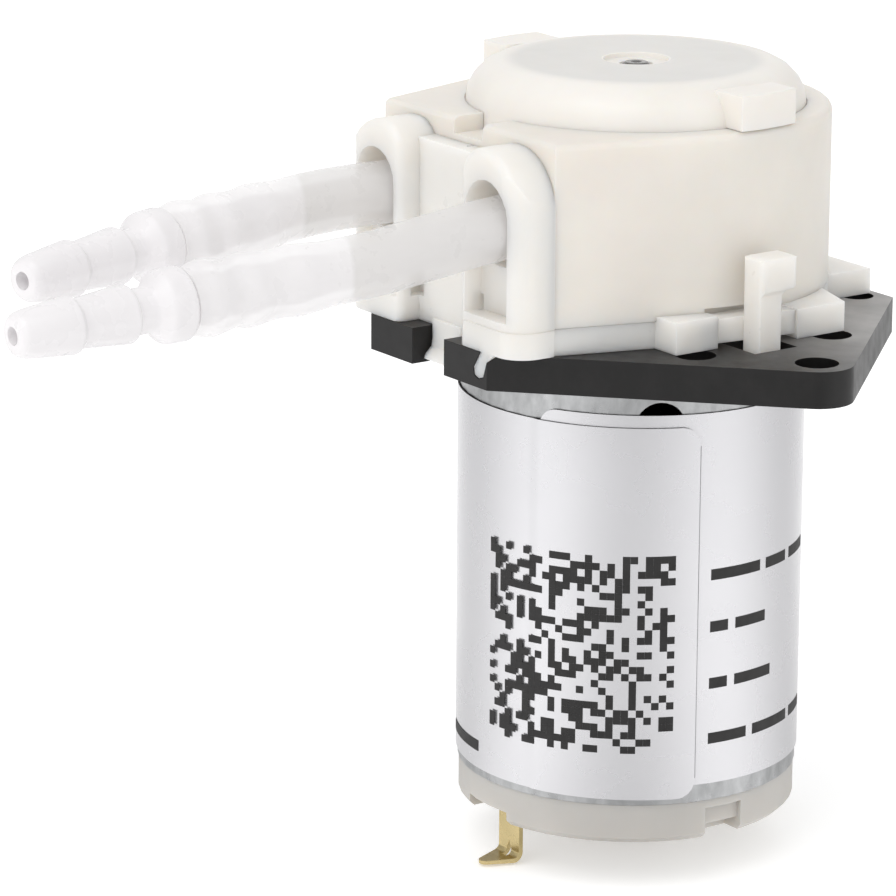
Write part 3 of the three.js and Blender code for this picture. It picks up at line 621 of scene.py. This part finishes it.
def bezier(a, b, c, d, t):
    return a.lerp(b, t).lerp(b.lerp(c, t), t).lerp(b.lerp(c, t).lerp(c.lerp(d, t), t), t)


def spigot_radius(s):
    """Radius of the barbed spigot at a distance s from the tube's end; it shrinks to the nose."""
    nose = smoothstep(min(1, (GRIP - s) / NOSE_L))
    radius = NOSE_R + (SPIGOT_R - NOSE_R) * nose
    for crest, height in BARBS:
        rise = BARB_STEEP if s < crest else BARB_GENTLE
        radius += height * smoothstep(max(0, 1 - abs(s - crest) / rise))
    return radius


def tube_leg(side, start, direction):
    """Stations from a tube end to the loop: place, flatness and stretch over the connector."""
    stations = []
    grip_steps = 40
    for i in range(grip_steps + 1):
        s = GRIP * i / grip_steps
        stretch = max(0, spigot_radius(s) + SPIGOT_PLAY - TUBE_BORE)
        stations.append((start + direction * (GRIP - s), 0, stretch))
    bend_x = LOOP_R * math.cos(LOOP_END) - BEND_R * (1 - math.cos(LOOP_END))
    bend_y = -(LOOP_R + BEND_R) * math.sin(LOOP_END)
    inner = Vector((side * bend_x, bend_y, TUBE_Z))
    length = (inner - start).length
    first = start - direction * (length / 3)
    second = inner - Vector((0, length / 3, 0))
    steps = 20
    for i in range(1, steps + 1):
        stations.append((bezier(start, first, second, inner, i / steps), 0, 0))
    steps = 10
    for i in range(1, steps + 1):
        a = LOOP_END * i / steps
        x = bend_x + BEND_R * (1 - math.cos(a))
        place = Vector((side * x, bend_y + BEND_R * math.sin(a), TUBE_Z))
        stations.append((place, smoothstep(i / steps), 0))
    return stations


def tube_stations():
    front = tube_leg(1, FRONT_START, FRONT_DIR)
    back = tube_leg(-1, BACK_START, BACK_DIR)
    back.reverse()
    sweep = math.pi + 2 * LOOP_END
    steps = 60
    loop = []
    for i in range(1, steps):
        a = -LOOP_END + sweep * i / steps
        loop.append((Vector((LOOP_R * math.cos(a), LOOP_R * math.sin(a), TUBE_Z)), 1, 0))
    return front + loop + back


def tube_ring(stations, index, outer, around):
    """One ring of the tube's outer wall or of its bore."""
    place, flat, stretch = stations[index]
    before = stations[max(0, index - 1)][0]
    after = stations[min(len(stations) - 1, index + 1)][0]
    tangent = (after - before).normalized()
    sideways = Vector((0, 0, 1)).cross(tangent).normalized()
    upward = tangent.cross(sideways)
    radius = TUBE_R + STRETCH_SHARE * stretch if outer else TUBE_BORE + stretch
    width = radius + ((FLAT_HALF if outer else SLIT_HALF) - radius) * flat
    height = radius + ((FLAT_HEIGHT if outer else SLIT_HEIGHT) - radius) * flat
    points = []
    for j in range(around):
        a = 2 * math.pi * j / around
        points.append(place + sideways * (width * math.cos(a)) + upward * (height * math.sin(a)))
    return points


def build_tube(finishes):
    around = 40
    stations = tube_stations()
    count = len(stations)
    points = []
    for i in range(count):
        points += tube_ring(stations, i, True, around)
    for i in reversed(range(count)):
        points += tube_ring(stations, i, False, around)
    faces = ring_faces(2 * count, around, True)
    make_piece("tube", points, faces, "silicone", finishes, "silicone_tube")


# ---- connectors ---------------------------------------------------------------------------


def connector_profile():
    """Outer profile as (radius, distance), from the spigot in the tube to the hose barb's tip."""
    steps = 70
    spigot = [(spigot_radius(GRIP * (1 - i / steps)), GRIP * i / steps) for i in range(steps + 1)]
    g = GRIP
    end = CONNECTOR_L
    body = [
        (SPIGOT_R, g + 0.05), (SPIGOT_R, g + 0.15),
        (2.85, g + 0.15), (2.8, g + 2.1),
        (1.75, g + 3.1), (1.75, g + 4.5),
        (2.25, g + 4.8), (1.85, g + 9.2),
        (2.2, g + 9.5), (1.85, end - 1.2),
        (1.7, end - 0.4), (1.35, end), (0.95, end),
    ]
    return [Vector(point) for point in spigot] + round_corners(body, 0.3)


def build_connector(name, start, direction, finishes):
    around = 56
    profile = [(CONNECTOR_BORE, 0), *connector_profile(), (CONNECTOR_BORE, CONNECTOR_L)]
    turn = Vector((0, 0, 1)).rotation_difference(direction)
    points = []
    for radius, distance in profile:
        for j in range(around):
            a = 2 * math.pi * j / around
            local = Vector((radius * math.cos(a), radius * math.sin(a), distance))
            points.append(start + turn @ local)
    faces = ring_faces(len(profile), around, True)
    replaced = name.replace("barb", "connector")
    make_piece(name, points, faces, "connector_plastic", finishes, replaced)


# ---- label --------------------------------------------------------------------------------


def on_can(angle, radius, z):
    return Vector((radius * math.cos(angle), radius * math.sin(angle), z))


def label_radius(angle):
    """Inner radius of the strip, which climbs over its own start after a full turn."""
    lap = LABEL_START + 2 * math.pi
    slope = math.radians(3)
    climb = (angle - lap + slope) / slope
    return LABEL_R + LAP_RISE * LABEL_T * smoothstep(min(1, max(0, climb)))


def label_edges(angle):
    """Lower and upper edge of the strip, with rounded corners at its two ends."""
    turned = (angle - LABEL_START) / (2 * math.pi)
    top = LABEL_TOP - LABEL_DROP * turned
    to_end = min(angle - LABEL_START, LABEL_END - angle) * LABEL_R
    inset = max(0, LABEL_CORNER - to_end)
    cut = LABEL_CORNER - math.sqrt(LABEL_CORNER**2 - min(inset, LABEL_CORNER) ** 2)
    return top - LABEL_HEIGHT + cut, top - cut


def label_angles():
    """Stations along the strip, close together at the rounded ends."""
    corner = LABEL_CORNER / LABEL_R
    steps = 8
    ease = [corner * (1 - math.cos(math.pi / 2 * i / steps)) for i in range(steps)]
    middle = 200
    first, last = LABEL_START + corner, LABEL_END - corner
    angles = [LABEL_START + e for e in ease]
    angles += [first + (last - first) * i / middle for i in range(middle + 1)]
    angles += [LABEL_END - e for e in reversed(ease)]
    return angles


def build_label(finishes):
    rows = 12
    points = []
    angles = label_angles()
    for angle in angles:
        low, high = label_edges(angle)
        inner = label_radius(angle)
        outline = [(inner + LABEL_T, low + (high - low) * i / rows) for i in range(rows + 1)]
        outline += [(inner, high - (high - low) * i / rows) for i in range(rows + 1)]
        points += [on_can(angle, radius, z) for radius, z in outline]
    around = 2 * (rows + 1)
    faces = ring_faces(len(angles), around)
    faces.append(tuple(range(around)))
    start = (len(angles) - 1) * around
    faces.append(tuple(range(start + around - 1, start - 1, -1)))
    strip = make_piece("label_strip", points, faces, "label_film", finishes, "motor_label")
    # The strip's cut edges get the painted edge shade.
    strip.data.materials.append(label_edge_shade())
    for face in strip.data.polygons:
        outward = Vector((face.center.x - AXIS.x, face.center.y - AXIS.y, 0)).normalized()
        if abs(face.normal.dot(outward)) < EDGE_FACING:
            face.material_index = 1


def print_patch(points, faces, start, end, low, high, radius):
    """Adds one closed patch of ink on the can between two angles and two heights."""
    steps = max(1, round((end - start) / math.radians(2.5)))
    base = len(points)
    for i in range(steps + 1):
        angle = start + (end - start) * i / steps
        for r, z in ((radius, low), (radius + INK_T, low), (radius + INK_T, high), (radius, high)):
            points.append(on_can(angle, r, z))
    faces += [tuple(base + k for k in face) for face in ring_faces(steps + 1, 4)]
    faces.append((base, base + 1, base + 2, base + 3))
    last = base + 4 * steps
    faces.append((last + 3, last + 2, last + 1, last))


def build_seam():
    """A thin grey line of painted shadow at the step along the end of the strip."""
    points, faces = [], []
    top = LABEL_TOP - SEAM_DROP
    radius = LABEL_R + LABEL_T + FILM_GAP
    start = LABEL_END + SEAM_GAP / radius
    end = start + SEAM_WIDTH / radius
    low, high = top - LABEL_HEIGHT + SEAM_INSET, top - SEAM_INSET
    print_patch(points, faces, start, end, low, high, radius)
    make_piece("label_seam", points, faces, "label_film", {"label_film": painted_seam_shadow()})


def add_code(points, faces, radius):
    """A square of blocks scattered by a seeded generator; it carries no information."""
    step = CODE_SIDE / CODE_CELLS
    dice = random.Random(CODE_SEED)
    for row in range(CODE_CELLS):
        for column in range(CODE_CELLS):
            if dice.random() > CODE_FILL:
                continue
            start = CODE_LEFT + (column * step + CELL_GAP) / radius
            end = CODE_LEFT + ((column + 1) * step - CELL_GAP) / radius
            high = CODE_TOP - row * step - CELL_GAP
            print_patch(points, faces, start, end, high - step + 2 * CELL_GAP, high, radius)


def build_print():
    """Plain stand-ins for the printing: a square of scattered blocks and rows of dashes."""
    points, faces = [], []
    outer = LABEL_R + (1 + LAP_RISE) * LABEL_T + FILM_GAP
    single = LABEL_R + LABEL_T + FILM_GAP
    add_code(points, faces, outer)
    for z, dashes in DASH_ROWS:
        start = DASH_START
        for dash in dashes:
            end = start + dash * DASH_STEP
            print_patch(points, faces, start, end, z - DASH_HALF, z + DASH_HALF, single)
            start = end + DASH_GAP
    print_patch(points, faces, *LONE_DASH, outer - LABEL_T)
    make_piece("label_print", points, faces, "label_film", {"label_film": label_ink()})


# ---- scene --------------------------------------------------------------------------------


def build_stage():
    """A large pale floor under the lowest point of the object."""
    level = cad_box[0].z - FLOOR_GAP
    mesh = bpy.data.meshes.new("floor")
    sides = ((-1, -1), (1, -1), (1, 1), (-1, 1))
    corners = [(x * FLOOR_SIZE, y * FLOOR_SIZE, level) for x, y in sides]
    mesh.from_pydata(corners, [], [(0, 1, 2, 3)])
    floor = bpy.data.objects.new("floor", mesh)
    bpy.context.scene.collection.objects.link(floor)
    mesh.materials.append(floor_paper())


def floor_paper():
    """Even white for the camera; lighter and darker sectors where the metal label mirrors it."""
    shader = Shader("floor_paper")
    even = shader.cloudy(shader.noise(4), (0.93, 0.93, 0.93), (0.96, 0.96, 0.96))
    waves = sector_waves(shader.tree, shader.from_axis())
    sectors = shader.node("ShaderNodeMapRange")
    sectors.inputs["From Min"].default_value = -1
    sectors.inputs["To Min"].default_value = 0.62
    sectors.inputs["To Max"].default_value = 0.98
    shader.link(waves, sectors.inputs["Value"])
    seen = shader.node("ShaderNodeLightPath").outputs["Is Camera Ray"]
    shown = shader.blend(seen, sectors.outputs["Result"], even)
    shader.color(shown)
    shader.link(shown, shader.bsdf.inputs["Emission Color"])
    shader.set(Roughness=0.9, Emission_Strength=0.35)
    return shader.material


def sector_waves(tree, direction):
    """Light and dark sectors around the vertical axis, from -1 to 1."""
    split = tree.nodes.new("ShaderNodeSeparateXYZ")
    tree.links.new(direction, split.inputs["Vector"])
    turn = arithmetic(tree, "ARCTAN2", split.outputs["Y"], split.outputs["X"])
    return arithmetic(tree, "SINE", arithmetic(tree, "MULTIPLY_ADD", turn, SECTORS, SECTOR_PHASE))


def build_world():
    """White for the camera; soft uneven studio walls for everything else."""
    world = bpy.data.worlds.new("studio")
    bpy.context.scene.world = world
    world.use_nodes = True
    tree = world.node_tree
    tree.nodes.clear()
    link = tree.links.new
    coords = tree.nodes.new("ShaderNodeTexCoord")
    split = tree.nodes.new("ShaderNodeSeparateXYZ")
    link(coords.outputs["Generated"], split.inputs["Vector"])
    height = tree.nodes.new("ShaderNodeMapRange")
    height.inputs["From Min"].default_value = -0.6
    height.inputs["From Max"].default_value = 0.8
    height.inputs["To Min"].default_value = WORLD_LOW
    height.inputs["To Max"].default_value = WORLD_HIGH
    link(split.outputs["Z"], height.inputs["Value"])
    waves = sector_waves(tree, coords.outputs["Generated"])
    strength = arithmetic(tree, "MULTIPLY_ADD", waves, SECTOR_SWING, height.outputs["Result"])
    path = tree.nodes.new("ShaderNodeLightPath")
    seen = tree.nodes.new("ShaderNodeMix")
    link(path.outputs["Is Camera Ray"], seen.inputs["Factor"])
    link(strength, seen.inputs["A"])
    seen.inputs["B"].default_value = 1.0
    background = tree.nodes.new("ShaderNodeBackground")
    background.inputs["Color"].default_value = (1, 1, 1, 1)
    link(seen.outputs["Result"], background.inputs["Strength"])
    output = tree.nodes.new("ShaderNodeOutputWorld")
    link(background.outputs["Background"], output.inputs["Surface"])


def direction_from(azimuth, elevation):
    """Unit vector from the object towards a viewer or lamp."""
    flat = math.cos(elevation)
    return Vector((math.sin(azimuth) * flat, -math.cos(azimuth) * flat, math.sin(elevation)))


def add_softbox(name, azimuth, elevation, distance, size, energy):
    lamp = bpy.data.lights.new(name, "AREA")
    lamp.shape = "SQUARE"
    lamp.size = size
    lamp.energy = energy
    obj = bpy.data.objects.new(name, lamp)
    bpy.context.scene.collection.objects.link(obj)
    towards = direction_from(math.radians(azimuth), math.radians(elevation))
    obj.location = AXIS + towards * distance
    obj.rotation_mode = "QUATERNION"
    obj.rotation_quaternion = (-towards).to_track_quat("-Z", "Y")


def build_camera():
    data = bpy.data.cameras.new("camera")
    data.sensor_width = 36
    data.lens = LENS
    data.clip_start = 0.01
    data.clip_end = 20
    camera = bpy.data.objects.new("camera", data)
    bpy.context.scene.collection.objects.link(camera)
    back = direction_from(AZIMUTH, ELEVATION)
    camera.location = AXIS + (TARGET + back * DISTANCE) * MM
    camera.rotation_mode = "QUATERNION"
    camera.rotation_quaternion = (-back).to_track_quat("-Z", "Y") @ Quaternion((0, 0, 1), ROLL)
    bpy.context.scene.camera = camera


finishes = make_finishes()
finish_cad_nodes(finishes, shading_group("shade_by_angle", SHADE_ANGLE))
build_tube(finishes)
build_connector("barb_front", FRONT_START, FRONT_DIR, finishes)
build_connector("barb_back", BACK_START, BACK_DIR, finishes)
build_label(finishes)
build_seam()
build_print()
build_stage()
build_world()
add_softbox("key", *KEY_LAMP)
add_softbox("fill", *FILL_LAMP)
build_camera()
bpy.context.scene.view_settings.view_transform = "Standard"
